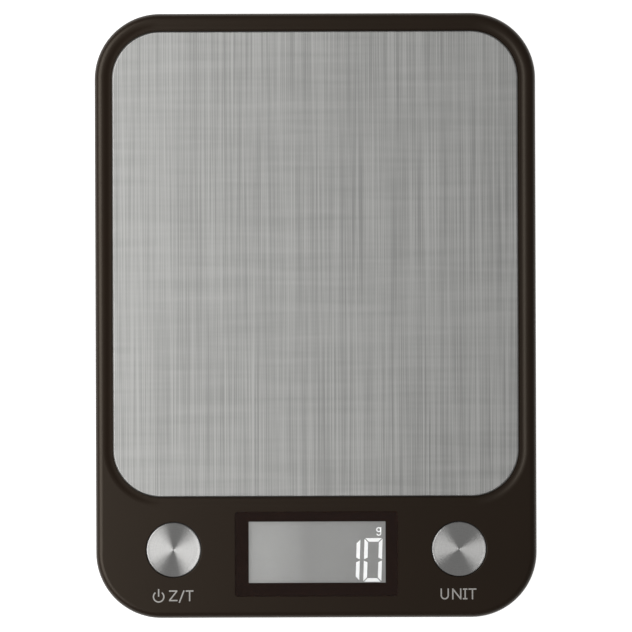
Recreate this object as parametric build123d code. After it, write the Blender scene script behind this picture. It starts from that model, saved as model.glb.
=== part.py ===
from build123d import *
import math
import os

# Flat digital kitchen scale. Millimetres, +Z up, +X to the right, +Y away from the user.
# The origin is on the table surface, under the middle of the body. The console is at -Y.

os.makedirs("parts", exist_ok=True)

# ---- Driving dimensions: the body seen from above ----
body_length = 240.0
body_width = 175.0
corner_radius = 26.0
rim_border = 7.0            # outer edge to plate, at the sides and the back
console_depth = 47.95       # front edge to plate
crown_round = 2.8           # rounding of the rim's outer top edge
dish_depth = 0.7            # drop from the crown to the ledge beside the plate
dish_middle = 4.7           # outer edge to the steepest point of the dish's flank
dish_slope = 23.0           # steepest angle of the flank, in degrees
dish_blend = 4.0            # radius that eases the flank into crown and ledge
plate_gap = 0.5

# ---- Driving dimensions: heights, from the table up ----
stand_off = 2.5             # the feet hold the body this far off the table
floor_wall = 1.8
door_wall = 1.5
pocket_roof = 0.8
roof_gap = 0.2
deck_wall = 1.6
plate_tape = 0.3
plate_sheet = 0.5
plate_drop = 0.3            # the plate lies this far below the crown
console_wall = 2.2
cover_wall = 2.2
parting_rise = 1.2          # the covers meet this far above the floor's inner face
parting_step = 0.3
bottom_round = 1.4
lip_wall = 1.2
lip_rise = 3.4
lip_gap = 0.1
rib_wall = 1.2
rib_depth = 2.4

# ---- Driving dimensions: weighing plate ----
plate_rim = 1.0             # depth of the plate's turned-down edge
plate_round = 0.8
moat_depth = 0.4            # groove in the deck that takes the turned-down edge
tape_inset = 2.0

# ---- Driving dimensions: display ----
lens_width = 64.7
lens_length = 33.6
lens_sheet = 1.2
lens_corner = 1.2
lens_from_front = 25.4
lens_tape_sheet = 0.15
lens_tape_width = 2.2
lens_gap = 0.1
lcd_width = 60.0
lcd_length = 29.0
lcd_sheet = 2.1
lcd_head_gap = 0.2
lcd_contact_ledge = 3.0
backlight_sheet = 2.4
holder_wall = 1.6
holder_rise = 3.6
fit_gap = 0.15

# ---- Driving dimensions: keys ----
key_spacing = 113.2
key_from_front = 27.2
key_diameter = 21.3
key_proud = 0.5
key_sheet = 0.8
key_edge = 0.35
key_gap = 0.35
key_flange = 1.6
key_flange_sheet = 0.9
key_travel = 0.4
key_spigot = 9.0
switch_size = 6.0
switch_body = 3.4
switch_stem_diameter = 3.4
switch_stem_rise = 0.9
switch_well = 1.4

# ---- Driving dimensions: main board ----
board_sheet = 1.6
board_below_console = 5.3   # the board's top face below the console's inner face
board_margin = 6.4          # board edge beyond a key's switch
board_length = 30.5
board_corner = 8.0
board_screw_x = 40.0
board_screw_inset = 3.0
board_boss = 5.0
chip_diameter = 11.0
chip_rise = 1.2

# ---- Driving dimensions: feet and load sensors ----
foot_inset = 26.0           # body edge to foot centre, both ways
foot_diameter = 22.0
foot_gap = 0.4
foot_flange = 1.3
foot_flange_sheet = 0.8
foot_flange_gap = 0.3
foot_wall = 2.0
foot_base = 1.5
foot_post = 6.0
foot_chamfer = 0.5
pad_diameter = 18.0
pad_sheet = 1.4
pad_proud = 0.6
sensor_width = 34.0
sensor_length = 20.0
sensor_sheet = 1.5
sensor_seat = 2.0           # height of the seats above the floor's inner face
sensor_tongue = 8.0
sensor_slot = 1.5
sensor_bar = 6.5
sensor_root = 8.0
gauge_width = 4.0
gauge_length = 3.0
gauge_sheet = 0.2

# ---- Driving dimensions: power ----
cell_diameter = 10.5
cell_length = 44.5
cell_nub_diameter = 3.8
cell_nub = 1.0
cell_gap = 0.15
cell_side_gap = 0.5
spring_room = 4.6
contact_sheet = 0.4
contact_bump = 0.6
contact_width = 9.0
contact_height = 8.6
spring_wire = 0.7
spring_large = 7.4
spring_small = 4.6
pocket_y = 20.0
pocket_wall = 1.2
door_ring = 1.0
door_ring_width = 3.2
door_overlap = 1.5          # the door reaches this far past the pocket's inner walls
door_gap = 0.3
door_tab_width = 8.0
door_tab_spacing = 30.0
door_tab_reach = 1.9
door_tab_sheet = 1.1
door_tab_gap = 0.15
door_grip_count = 5
door_grip_pitch = 1.6
door_grip_depth = 0.4
door_open_room = 1.6
latch_width = 12.0
latch_reach = 3.0
latch_rise = 4.4
latch_wall = 0.9
latch_room = 0.8
latch_nib = 0.5

# ---- Driving dimensions: screws and leads ----
screw_shank = 2.3
screw_head = 4.2
screw_head_rise = 1.4
screw_length = 7.5
screw_clearance = 0.3
screw_boss = 6.0
screw_seat_boss = 7.0
screw_seat = 2.4            # height of the screw's seat above the underside
case_screw_inset = 6.8
small_screw_shank = 2.0
small_screw_head = 3.6
small_screw_head_rise = 1.2
sensor_screw_length = 3.4
board_screw_length = 5.6
lead_diameter = 1.2
lead_step = 10.0            # usual length of a short run of lead
lead_rest = 0.05            # a lead lies this far off the cover's floor
lead_pitch = 2.4            # spacing of the lanes that the leads run in

# ---- Heights worked out from the stack ----
z_floor = stand_off + floor_wall
z_cell_low = stand_off + door_wall + cell_gap
z_cell = z_cell_low + cell_diameter / 2
z_roof_low = z_cell_low + cell_diameter + cell_gap
z_roof = z_roof_low + pocket_roof
z_deck_low = z_roof + roof_gap
z_deck = z_deck_low + deck_wall
z_plate_low = z_deck + plate_tape
z_plate = z_plate_low + plate_sheet
z_crown = z_plate + plate_drop
z_ledge = z_crown - dish_depth
z_console_low = z_crown - console_wall
z_parting = z_floor + parting_rise
z_lip = z_parting + lip_rise
z_board = z_console_low - board_below_console
z_board_low = z_board - board_sheet
z_lens_seat = z_crown - lens_sheet - lens_tape_sheet
z_lcd = z_console_low - lcd_head_gap
z_lcd_low = z_lcd - lcd_sheet
z_sensor_low = z_floor + sensor_seat
z_sensor = z_sensor_low + sensor_sheet
z_screw_seat = stand_off + screw_seat
z_boss_low = z_screw_seat + floor_wall
z_door = stand_off + door_wall
z_lead = z_floor + lead_rest + lead_diameter / 2

# ---- Places worked out from the outline ----
y_front = -body_length / 2
y_back = body_length / 2
plate_width = body_width - 2 * rim_border
plate_length = body_length - rim_border - console_depth
plate_y = (y_back - rim_border + y_front + console_depth) / 2
plate_corner = corner_radius - rim_border
y_plate_front = y_front + console_depth
lens_y = y_front + lens_from_front
key_y = y_front + key_from_front
key_places = {"zero": -key_spacing / 2, "unit": key_spacing / 2}
foot_x = body_width / 2 - foot_inset
foot_y = body_length / 2 - foot_inset
foot_places = {
    "front_left": (-foot_x, -foot_y),
    "front_right": (foot_x, -foot_y),
    "rear_left": (-foot_x, foot_y),
    "rear_right": (foot_x, foot_y),
}
inner_width = body_width - 2 * cover_wall
inner_length = body_length - 2 * cover_wall
inner_corner = corner_radius - cover_wall
pocket_length = cell_length + spring_room + contact_bump + 2 * contact_sheet
pocket_width = 2 * cell_diameter + 3 * cell_side_gap
door_length = pocket_length + 2 * door_overlap
door_width = pocket_width + 2 * door_overlap
board_y = lens_y
board_width = key_spacing + switch_size + 2 * board_margin
lead_lane = pocket_length / 2 + pocket_wall + lead_diameter
case_x = body_width / 2 - case_screw_inset
case_y = body_length / 2 - case_screw_inset
case_places = [
    (sign * x, y)
    for sign in (-1, 1)
    for x, y in (
        (case_x, y_plate_front + rim_border + corner_radius - cover_wall),
        (case_x, foot_y - sensor_width - screw_boss),
        (board_screw_x, -case_y),
        (board_screw_x, case_y),
    )
]
board_screw_y = board_length / 2 - board_screw_inset
board_screw_places = [
    (sx * board_screw_x, board_y + sy * board_screw_y) for sx in (-1, 1) for sy in (-1, 1)
]
sensor_screw_x = (sensor_width + foot_diameter) / 4 + foot_flange / 2 + foot_gap / 2


# ---- Shapes that many pieces share ----
def slab(width, length, radius, z_low, z_high, x=0.0, y=0.0):
    """A flat block with rounded corners, standing between two heights."""
    plan = Pos(x, y, z_low) * RectangleRounded(width, length, radius)
    return extrude(plan, z_high - z_low)


def block(width, length, z_low, z_high, x=0.0, y=0.0):
    """A flat block with square corners, standing between two heights."""
    return Pos(x, y, (z_low + z_high) / 2) * Box(width, length, z_high - z_low)


def disc(diameter, z_low, z_high, x=0.0, y=0.0):
    """A round disc or post, standing between two heights."""
    return Pos(x, y, (z_low + z_high) / 2) * Cylinder(diameter / 2, z_high - z_low)


def inset_at(point):
    """How far a point lies in from the body's outline, seen from above."""
    across = abs(point.X) - (body_width / 2 - corner_radius)
    along = abs(point.Y) - (body_length / 2 - corner_radius)
    corner = math.hypot(max(across, 0), max(along, 0))
    return corner_radius - corner - min(max(across, along), 0)


def level_edges(part, height, inset_low=-1.0, inset_high=1e3):
    """The edges that lie at one height, and between two distances in from the outline."""
    found = []
    for edge in part.edges():
        ends = [edge.position_at(share) for share in (0, 0.5, 1)]
        if all(abs(p.Z - height) < 1e-3 and inset_low < inset_at(p) < inset_high for p in ends):
            found.append(edge)
    return found


def screw(shank, length, head, head_rise):
    """A pan-head screw pointing up, its head's seating face at height 0."""
    pan = disc(head, -head_rise, 0)
    pan = fillet(pan.edges().sort_by(Axis.Z)[0], head_rise / 2)
    slot = head_rise / 3
    cross = Box(head * 0.6, slot, slot) + Box(slot, head * 0.6, slot)
    return pan + disc(shank, 0, length) - Pos(0, 0, slot / 2 - head_rise) * cross


def lead(points):
    """A round lead along straight runs, each corner an arc as large as its two runs allow."""
    spots = [Vector(*point) for point in points]
    runs = [after - before for before, after in zip(spots, spots[1:])]
    radii = []
    for run, after in zip(runs, runs[1:]):
        half_turn = math.radians(run.get_angle(after)) / 2
        radii.append(0.45 * min(run.length, after.length) / math.tan(half_turn))
    path = FilletPolyline(*spots, radius=radii)
    start = Plane(origin=path @ 0, z_dir=path % 0)
    return sweep(start * Circle(lead_diameter / 2), path)


# ---- Covers ----
def dish():
    """The space above the plate's ledge: its flank flares up and out to the crown."""
    half_run = dish_depth / math.tan(math.radians(dish_slope)) / 2
    out = rim_border - dish_middle
    foot_side = out - half_run
    plan = Pos(0, plate_y, z_ledge) * RectangleRounded(
        plate_width + 2 * foot_side, plate_length + 2 * foot_side, plate_corner + foot_side
    )
    return extrude(plan, dish_depth, taper=dish_slope - 90)


def plate_recess():
    """The pocket that the plate lies in, with a groove for its turned-down edge."""
    width = plate_width + 2 * plate_gap
    length = plate_length + 2 * plate_gap
    corner = plate_corner + plate_gap
    recess = slab(width, length, corner, z_deck, z_crown, y=plate_y)
    groove = slab(width, length, corner, z_deck - moat_depth, z_deck, y=plate_y)
    inner = 2 * (plate_gap + 2 * plate_sheet)
    island = slab(width - inner, length - inner, corner - inner / 2, z_deck - moat_depth, z_deck, y=plate_y)
    return recess + (groove - island)


def deck_ribs():
    """Stiffening ribs under the deck, clear of the battery pocket."""
    low = z_deck_low - rib_depth
    long_x = (pocket_length + foot_x) / 2
    rear = case_y - screw_boss
    front = y_plate_front
    ribs = block(rib_wall, rear - front, low, z_deck_low, -long_x, (rear + front) / 2)
    ribs += block(rib_wall, rear - front, low, z_deck_low, long_x, (rear + front) / 2)
    for y in (y_plate_front + rim_border, pocket_y - 2 * pocket_width, pocket_y + 2 * pocket_width):
        ribs += block(inner_width - 2 * lip_wall - 1, rib_wall, low, z_deck_low, 0, y)
    return ribs


def make_top_cover():
    cover = slab(body_width, body_length, corner_radius, z_parting, z_crown)
    cover = fillet(level_edges(cover, z_crown), crown_round)
    cover -= dish()
    cover = fillet(level_edges(cover, z_crown, crown_round + 0.1), dish_blend)
    cover = fillet(level_edges(cover, z_ledge), dish_blend)
    cover -= plate_recess()
    cover -= slab(inner_width, inner_length, inner_corner, z_parting, z_deck_low)
    console_inner = console_depth - cover_wall - plate_gap - cover_wall
    cover -= slab(
        inner_width, console_inner, inner_corner / 2, z_deck_low, z_console_low,
        y=y_front + cover_wall + console_inner / 2,
    ) & slab(inner_width, inner_length, inner_corner, z_deck_low, z_console_low)
    cover += deck_ribs()
    for x, y in case_places:
        ceiling = z_console_low if y < y_plate_front - rim_border else z_deck_low
        cover += disc(screw_boss, z_boss_low, ceiling, x, y)
        cover -= disc(screw_shank, z_boss_low, z_screw_seat + screw_length, x, y)
    for x, y in board_screw_places:
        cover += disc(board_boss, z_board, z_console_low, x, y)
        cover -= disc(small_screw_shank, z_board, z_board_low + board_screw_length, x, y)
    cover -= slab(lens_width + 2 * lens_gap, lens_length + 2 * lens_gap, lens_corner + lens_gap,
                  z_lens_seat, z_crown, y=lens_y)
    cover -= slab(lens_width - 2 * lens_tape_width, lens_length - 2 * lens_tape_width, lens_corner,
                  z_console_low, z_lens_seat, y=lens_y)
    for x in key_places.values():
        hole = key_diameter + 2 * key_gap
        cover -= disc(hole, z_console_low, z_crown, x, key_y)
    return cover


def pocket_walls():
    """The battery pocket's four walls, roof and the ring that the door closes against."""
    outer_length = pocket_length + 2 * pocket_wall
    outer_width = pocket_width + 2 * pocket_wall
    walls = block(outer_length, outer_width, z_floor, z_roof, 0, pocket_y)
    ring = block(door_length + door_ring_width, door_width + door_ring_width,
                 z_floor, z_floor + door_ring, 0, pocket_y)
    inside = block(pocket_length, pocket_width, z_floor, z_roof_low, 0, pocket_y)
    return walls + ring - inside


def pocket_divider():
    """The low rib that parts the two cells, hanging from the pocket's roof."""
    return block(cell_length * 0.6, cell_side_gap, z_cell + cell_diameter * 0.3, z_roof_low, 0, pocket_y)


def door_cuts():
    """Openings in the bottom cover for the door, its two tabs and its latch."""
    rear = pocket_y + door_width / 2
    front = pocket_y - door_width / 2
    cuts = block(door_length + 2 * door_gap, door_width + 2 * door_gap, stand_off, z_floor, 0, pocket_y)
    tab_room = door_tab_reach + door_gap
    reach = door_overlap + tab_room
    for side in (-1, 1):
        cuts += block(door_tab_width + 2 * door_gap, reach, z_floor,
                      z_floor + door_tab_sheet + door_open_room,
                      side * door_tab_spacing / 2, rear - door_overlap + reach / 2)
    depth = latch_reach + latch_room
    cuts += block(latch_width + 2 * door_gap, depth, stand_off, z_floor, 0, front - depth / 2)
    inner = depth + door_overlap
    cuts += block(latch_width + 2 * door_gap, inner, z_floor, z_door + latch_rise + door_gap,
                  0, front + door_overlap - inner / 2)
    return cuts


def sensor_seats(x, y):
    """Two raised seats that carry the ends of one load sensor."""
    inner = foot_diameter / 2 + foot_flange + foot_gap
    width = sensor_width / 2 - inner
    seats = Part()
    for side in (-1, 1):
        seats += block(width, sensor_length, z_floor, z_sensor_low, x + side * (inner + width / 2), y)
    return seats


def make_bottom_cover():
    cover = slab(body_width - 2 * parting_step, body_length - 2 * parting_step,
                 corner_radius - parting_step, stand_off, z_parting)
    cover = fillet(level_edges(cover, stand_off), bottom_round)
    cover -= slab(inner_width, inner_length, inner_corner, z_floor, z_parting)
    outer = 2 * lip_gap
    inner = 2 * (lip_gap + lip_wall)
    lip = slab(inner_width - outer, inner_length - outer, inner_corner - outer / 2, z_floor, z_lip)
    lip -= slab(inner_width - inner, inner_length - inner, inner_corner - inner / 2, z_floor, z_lip)
    cover += slab(inner_width, inner_length, inner_corner, z_floor, z_parting) - slab(
        inner_width - inner, inner_length - inner, inner_corner - inner / 2, z_floor, z_parting)
    cover += lip
    for x, y in case_places:
        cover += disc(screw_seat_boss, z_floor, z_boss_low, x, y)
        cover -= disc(screw_head + 2 * screw_clearance, stand_off, z_screw_seat, x, y)
        cover -= disc(screw_shank + screw_clearance, z_screw_seat, z_boss_low, x, y)
    for x, y in foot_places.values():
        cover += sensor_seats(x, y)
        cover -= disc(foot_diameter + 2 * foot_gap, stand_off, z_floor, x, y)
        for side in (-1, 1):
            cover -= disc(small_screw_shank, z_sensor - sensor_screw_length, z_sensor_low,
                          x + side * sensor_screw_x, y)
    cover += pocket_walls()
    cover += pocket_divider()
    cover -= door_cuts()
    return cover


# ---- Weighing plate ----
def make_platform_plate():
    """Steel sheet drawn into a shallow pan, with its edge turned down all round."""
    z_rim = z_plate - plate_rim
    pan = slab(plate_width, plate_length, plate_corner, z_rim, z_plate, y=plate_y)
    pan = fillet(pan.faces().sort_by(Axis.Z)[-1].edges(), plate_round)
    inner = 2 * plate_sheet
    hollow = slab(plate_width - inner, plate_length - inner, plate_corner - plate_sheet,
                  z_rim, z_plate_low, y=plate_y)
    hollow = fillet(hollow.faces().sort_by(Axis.Z)[-1].edges(), plate_round - plate_sheet)
    return pan - hollow


def make_platform_tape():
    inner = 2 * (2 * plate_sheet + tape_inset)
    return slab(plate_width - inner, plate_length - inner, plate_corner - inner / 2,
                z_deck, z_plate_low, y=plate_y)


# ---- Display ----
def make_display_lens():
    lens = slab(lens_width, lens_length, lens_corner, z_crown - lens_sheet, z_crown, y=lens_y)
    return chamfer(lens.faces().sort_by(Axis.Z)[-1].edges(), fit_gap)


def make_lens_tape():
    tape = slab(lens_width, lens_length, lens_corner, z_lens_seat, z_lens_seat + lens_tape_sheet, y=lens_y)
    inner = 2 * lens_tape_width
    return tape - slab(lens_width - inner, lens_length - inner, lens_corner,
                       z_lens_seat, z_lens_seat + lens_tape_sheet, y=lens_y)


def make_lcd_panel():
    """Two glasses; the lower one sticks out at the front as the contact ledge."""
    half = lcd_sheet / 2
    panel = block(lcd_width, lcd_length, z_lcd_low + half, z_lcd, 0, lens_y)
    lower = lcd_length - lcd_contact_ledge
    return panel + block(lcd_width, lower, z_lcd_low, z_lcd_low + half, 0, lens_y + lcd_contact_ledge / 2)


def make_lcd_backlight():
    depth = lcd_length - lcd_contact_ledge - 2 * fit_gap
    return block(lcd_width - 2 * fit_gap, depth, z_lcd_low - backlight_sheet, z_lcd_low,
                 0, lens_y + lcd_contact_ledge / 2)


def make_lcd_connector():
    """The rubber strip that joins the glass's contact ledge to the board."""
    depth = lcd_contact_ledge - 4 * fit_gap
    return block(lcd_width - 4 * fit_gap, depth, z_board, z_lcd_low + lcd_sheet / 2,
                 0, lens_y - lcd_length / 2 + lcd_contact_ledge / 2)


def make_lcd_holder():
    outer_width = lcd_width + 2 * (fit_gap + holder_wall)
    outer_length = lcd_length + 2 * (fit_gap + holder_wall)
    frame = slab(outer_width, outer_length, holder_wall, z_board, z_board + holder_rise, y=lens_y)
    frame -= block(lcd_width + 2 * fit_gap, lcd_length + 2 * fit_gap, z_board, z_board + holder_rise,
                   0, lens_y)
    return frame


# ---- Main board ----
def make_main_board():
    board = slab(board_width, board_length, board_corner, z_board_low, z_board, y=board_y)
    for x, y in board_screw_places:
        board -= disc(small_screw_shank + screw_clearance, z_board_low, z_board, x, y)
    return board


def make_controller_chip():
    """The dark resin drop that covers the controller, under the board."""
    drop = disc(chip_diameter, z_board_low - chip_rise, z_board_low, chip_diameter, board_y)
    return fillet(drop.edges().sort_by(Axis.Z)[0], chip_rise * 0.8)


def make_board_components():
    """Small resistors, capacitors and a regulator under the board, clear of the chip."""
    parts = Part()
    pitch = 4.2
    for row in range(2):
        for column in range(6):
            parts += block(2.0, 1.25, z_board_low - 0.6, z_board_low,
                           -8 - column * pitch, board_y - 4 + row * 8)
    parts += block(4.4, 3.0, z_board_low - 1.1, z_board_low, 24, board_y)
    return parts


# ---- Keys ----
def make_button_cap(x):
    """Spun aluminium disc with a broken edge."""
    cap = disc(key_diameter, z_crown + key_proud - key_sheet, z_crown + key_proud, x, key_y)
    return chamfer(cap.edges().group_by(Axis.Z)[-1], key_edge)


def make_button_plunger(x):
    """Moulded carrier under the cap: its flange stays under the console's wall."""
    top = z_crown + key_proud - key_sheet
    flange_top = z_console_low - key_gap
    body = disc(key_diameter - 2 * fit_gap, flange_top, top, x, key_y)
    body += disc(key_diameter + 2 * (key_gap + key_flange), flange_top - key_flange_sheet, flange_top, x, key_y)
    hollow = key_diameter - 4 * fit_gap - 2 * holder_wall
    floor = top - holder_wall
    body -= disc(hollow, flange_top - key_flange_sheet, floor, x, key_y)
    return body + disc(switch_size, z_board + switch_body + switch_stem_rise, floor, x, key_y)


def make_switch_housing(x):
    z_top = z_board + switch_body
    housing = block(switch_size, switch_size, z_board, z_top, x, key_y)
    well = disc(switch_stem_diameter + 2 * fit_gap, z_top - switch_well, z_top, x, key_y)
    return housing - well


def make_switch_stem(x):
    z_top = z_board + switch_body
    return disc(switch_stem_diameter, z_top - switch_well + key_travel + fit_gap, z_top + switch_stem_rise, x, key_y)


# ---- Feet and load sensors ----
def make_foot_cap(x, y):
    """Moulded foot: a cup with a flange that keeps it in the cover, and a post to the sensor."""
    z_low = pad_proud
    z_flange = z_floor + foot_flange_gap
    z_top = z_flange + foot_flange_sheet
    cup = disc(foot_diameter, z_low, z_top, x, y)
    cup = chamfer(cup.edges().group_by(Axis.Z)[0], foot_chamfer)
    cup += disc(foot_diameter + 2 * foot_flange, z_flange, z_top, x, y)
    cup -= disc(foot_diameter - 2 * foot_wall, pad_sheet + foot_base, z_top, x, y)
    cup -= disc(pad_diameter, z_low, pad_sheet, x, y)
    return cup + disc(foot_post, pad_sheet, z_sensor_low, x, y)


def make_foot_pad(x, y):
    pad = disc(pad_diameter, 0, pad_sheet, x, y)
    return fillet(pad.edges().group_by(Axis.Z)[0], pad_proud / 2)


def make_load_sensor(x, y):
    """Steel plate with a tongue that the foot's post bends; both ends are screwed down.
    The tongue's root is at the end nearer the middle of the body."""
    side = math.copysign(1, x)
    plate = slab(sensor_width, sensor_length, sensor_slot, z_sensor_low, z_sensor)
    start = sensor_root - sensor_width / 2
    end = sensor_width / 2 - sensor_bar
    mid = (start + end) / 2
    outer = block(end - start, sensor_tongue + 2 * sensor_slot, z_sensor_low, z_sensor, mid * side)
    inner = (mid - sensor_slot / 2) * side
    tongue = block(end - start - sensor_slot, sensor_tongue, z_sensor_low, z_sensor, inner)
    plate -= outer - tongue
    for way in (-1, 1):
        plate -= disc(small_screw_shank, z_sensor_low, z_sensor, way * sensor_screw_x)
    return Pos(x, y, 0) * plate


def gauge_place(x):
    """The gauge sits on the tongue's root."""
    return x - math.copysign(sensor_width / 2 - sensor_root - gauge_width / 2, x)


def make_strain_gauges():
    gauges = Part()
    for x, y in foot_places.values():
        gauges += block(gauge_width, gauge_length, z_sensor, z_sensor + gauge_sheet, gauge_place(x), y)
    return gauges


# ---- Power ----
def cell_places():
    """Each cell's row and the way its raised end points."""
    offset = (cell_diameter + cell_side_gap) / 2
    return {"front": (pocket_y - offset, 1), "rear": (pocket_y + offset, -1)}


def along_x(part, x, y, way):
    """Lays an upright shape down along X, at the cells' height, pointing left or right."""
    return Pos(x, y, z_cell) * Rot(0, 90 * way, 0) * part


def make_battery_cell(y, way):
    tube_length = cell_length - cell_nub
    tube = disc(cell_diameter, 0, tube_length)
    tube = fillet(tube.edges().group_by(Axis.Z)[-1], cell_nub / 2)
    tube = fillet(tube.edges().group_by(Axis.Z)[0], cell_nub / 3)
    tube += disc(cell_nub_diameter, tube_length, cell_length)
    start = pocket_length / 2 - contact_sheet - spring_room
    return along_x(tube, -way * start, y, way)


def contact_plate(y, way):
    x = way * (pocket_length / 2 - contact_sheet / 2)
    return Pos(x, y, z_cell) * Box(contact_sheet, contact_width, contact_height)


def contact_button(y, way):
    x = way * (pocket_length / 2 - contact_sheet)
    return along_x(disc(cell_nub_diameter, 0, contact_bump), x, y, -way)


def contact_spring(y, way):
    """The coiled contact, as a hollow cone of the coil's outer shape."""
    coil = Cone(spring_large / 2, spring_small / 2, spring_room)
    bore = Cone(spring_large / 2 - spring_wire, spring_small / 2 - spring_wire, spring_room)
    shape = Pos(0, 0, spring_room / 2) * (coil - bore)
    x = way * (pocket_length / 2 - contact_sheet)
    return along_x(shape, x, y, -way)


def make_contact_bridge():
    """One strip across the left end: spring for the front cell, button for the rear one."""
    rows = cell_places()
    strip = contact_plate(rows["front"][0], -1) + contact_plate(rows["rear"][0], -1)
    x = -pocket_length / 2 + contact_sheet / 2
    strip += Pos(x, pocket_y, z_cell) * Box(contact_sheet, contact_width, contact_width / 3)
    return strip + contact_button(rows["rear"][0], -1)


def make_battery_door():
    rear = pocket_y + door_width / 2
    front = pocket_y - door_width / 2
    door = slab(door_length, door_width, door_wall, stand_off, z_door, y=pocket_y)
    tab_low = z_floor + door_tab_gap
    for side in (-1, 1):
        x = side * door_tab_spacing / 2
        door += block(door_tab_width, door_overlap, z_door, tab_low + door_tab_sheet, x, rear - door_overlap / 2)
        reach = door_overlap + door_tab_reach
        door += block(door_tab_width, reach, tab_low, tab_low + door_tab_sheet, x, rear - door_overlap + reach / 2)
    door += door_latch(front)
    for step in range(door_grip_count):
        door -= block(latch_width, door_grip_pitch / 2, stand_off, stand_off + door_grip_depth,
                      0, front + door_overlap + step * door_grip_pitch)
    return door


def door_latch(front):
    """A U-shaped sprung tongue at the door's front edge, with its nib drawn back."""
    top = z_door + latch_rise
    near = front + latch_wall / 2
    far = front - latch_reach + latch_wall / 2
    latch = block(latch_width, latch_wall, stand_off, top, 0, near)
    latch += block(latch_width, latch_reach, top - latch_wall, top, 0, front - latch_reach / 2 + latch_wall / 2)
    latch += block(latch_width, latch_wall, stand_off + door_gap, top, 0, far)
    latch += block(latch_width / 2, latch_nib, z_floor + door_gap, z_floor + 2 * latch_wall,
                   0, far - latch_wall / 2 - latch_nib / 2)
    return latch


# ---- Screws ----
def make_case_screws():
    screws = Part()
    for x, y in case_places:
        screws += Pos(x, y, z_screw_seat) * screw(screw_shank, screw_length, screw_head, screw_head_rise)
    return screws


def make_board_screws():
    screws = Part()
    for x, y in board_screw_places:
        screws += Pos(x, y, z_board_low) * screw(
            small_screw_shank, board_screw_length, small_screw_head, small_screw_head_rise)
    return screws


def make_sensor_screws():
    screws = Part()
    one = Rot(180, 0, 0) * screw(
        small_screw_shank, sensor_screw_length, small_screw_head, small_screw_head_rise)
    for x, y in foot_places.values():
        for side in (-1, 1):
            screws += Pos(x + side * sensor_screw_x, y, z_sensor) * one
    return screws


# ---- Leads ----
def lead_end(x):
    """The last three points of a lead: along the floor, up, and to its pad under the board."""
    under_board = z_board_low - lead_diameter / 2
    pad_y = board_y + board_length / 2 - lead_step / 2
    return [(x, pad_y + 3 * lead_step, z_lead), (x, pad_y + lead_step, under_board), (x, pad_y, under_board)]


def make_rear_sensor_lead(x, y):
    """From the gauge over the sensor's edge, down to the floor and forward to the board."""
    top = z_sensor + gauge_sheet + lead_diameter / 2
    start = gauge_place(x)
    side = math.copysign(1, x)
    lane = lead_lane + 2 * lead_pitch
    edge = y - sensor_length / 2
    points = [
        (start, y - gauge_length / 2, top),
        (start, edge - lead_step / 2, top),
        (start, edge - 3 * lead_step / 2, z_lead),
        (side * lane, edge - 4 * lead_step, z_lead),
        (side * (lane + lead_rest * lead_step), pocket_y - pocket_width, z_lead),
    ]
    return lead(points + lead_end(side * lane))


def make_front_sensor_lead(x, y):
    """A short lead from the gauge to its pad on the board close above."""
    top = z_sensor + gauge_sheet + lead_diameter / 2
    under_board = z_board_low - lead_diameter / 2
    start = gauge_place(x)
    out = start + math.copysign(2 * lead_diameter, x)
    first = y + gauge_length / 2
    points = [
        (start, first, top),
        (start, first + lead_pitch, top),
        (out, first + 2 * lead_pitch, under_board),
        (out, first + 3 * lead_pitch, under_board),
    ]
    return lead(points)


def make_battery_lead(row, out):
    """From a contact's outer face, down beside the pocket and forward to the board."""
    lane = lead_lane + out
    points = [
        (lead_lane, row + contact_width / 4, z_cell),
        (lead_lane + out / 2, row - contact_width / 4, z_cell - contact_height / 4),
        (lane, row - contact_width / 4 - lead_step, z_lead + (lead_diameter - out / 2)),
        (lane + lead_rest * lead_step, y_plate_front + 5 * lead_step, z_lead),
    ]
    return lead(points + lead_end(lane))


# ---- Every piece, by the name of its node ----
pieces = {
    "top_cover": make_top_cover(),
    "bottom_cover": make_bottom_cover(),
    "platform_plate": make_platform_plate(),
    "platform_tape": make_platform_tape(),
    "display_lens": make_display_lens(),
    "lens_tape": make_lens_tape(),
    "lcd_panel": make_lcd_panel(),
    "lcd_backlight": make_lcd_backlight(),
    "lcd_connector": make_lcd_connector(),
    "lcd_holder": make_lcd_holder(),
    "main_board": make_main_board(),
    "controller_chip": make_controller_chip(),
    "board_components": make_board_components(),
    "strain_gauges": make_strain_gauges(),
    "battery_door": make_battery_door(),
    "contact_bridge": make_contact_bridge(),
    "case_screws": make_case_screws(),
    "board_screws": make_board_screws(),
    "sensor_screws": make_sensor_screws(),
}
for key, key_x in key_places.items():
    pieces[f"button_cap_{key}"] = make_button_cap(key_x)
    pieces[f"button_plunger_{key}"] = make_button_plunger(key_x)
    pieces[f"switch_housing_{key}"] = make_switch_housing(key_x)
    pieces[f"switch_stem_{key}"] = make_switch_stem(key_x)
for foot, (place_x, place_y) in foot_places.items():
    pieces[f"foot_cap_{foot}"] = make_foot_cap(place_x, place_y)
    pieces[f"foot_pad_{foot}"] = make_foot_pad(place_x, place_y)
    pieces[f"load_sensor_{foot}"] = make_load_sensor(place_x, place_y)
    make_lead = make_front_sensor_lead if place_y < 0 else make_rear_sensor_lead
    pieces[f"sensor_lead_{foot}"] = make_lead(place_x, place_y)
for cell, (cell_y, cell_way) in cell_places().items():
    pieces[f"battery_cell_{cell}"] = make_battery_cell(cell_y, cell_way)
front_row, rear_row = (place[0] for place in cell_places().values())
pieces["contact_positive"] = contact_plate(front_row, 1) + contact_button(front_row, 1)
pieces["contact_negative"] = contact_plate(rear_row, 1)
pieces["battery_lead_positive"] = make_battery_lead(front_row, 0)
pieces["battery_lead_negative"] = make_battery_lead(rear_row, lead_pitch)
pieces["contact_spring_front"] = contact_spring(front_row, -1)
pieces["contact_spring_rear"] = contact_spring(rear_row, 1)

for node, shape in pieces.items():
    export_step(shape, f"parts/{node}.step")
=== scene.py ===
import math

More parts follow.
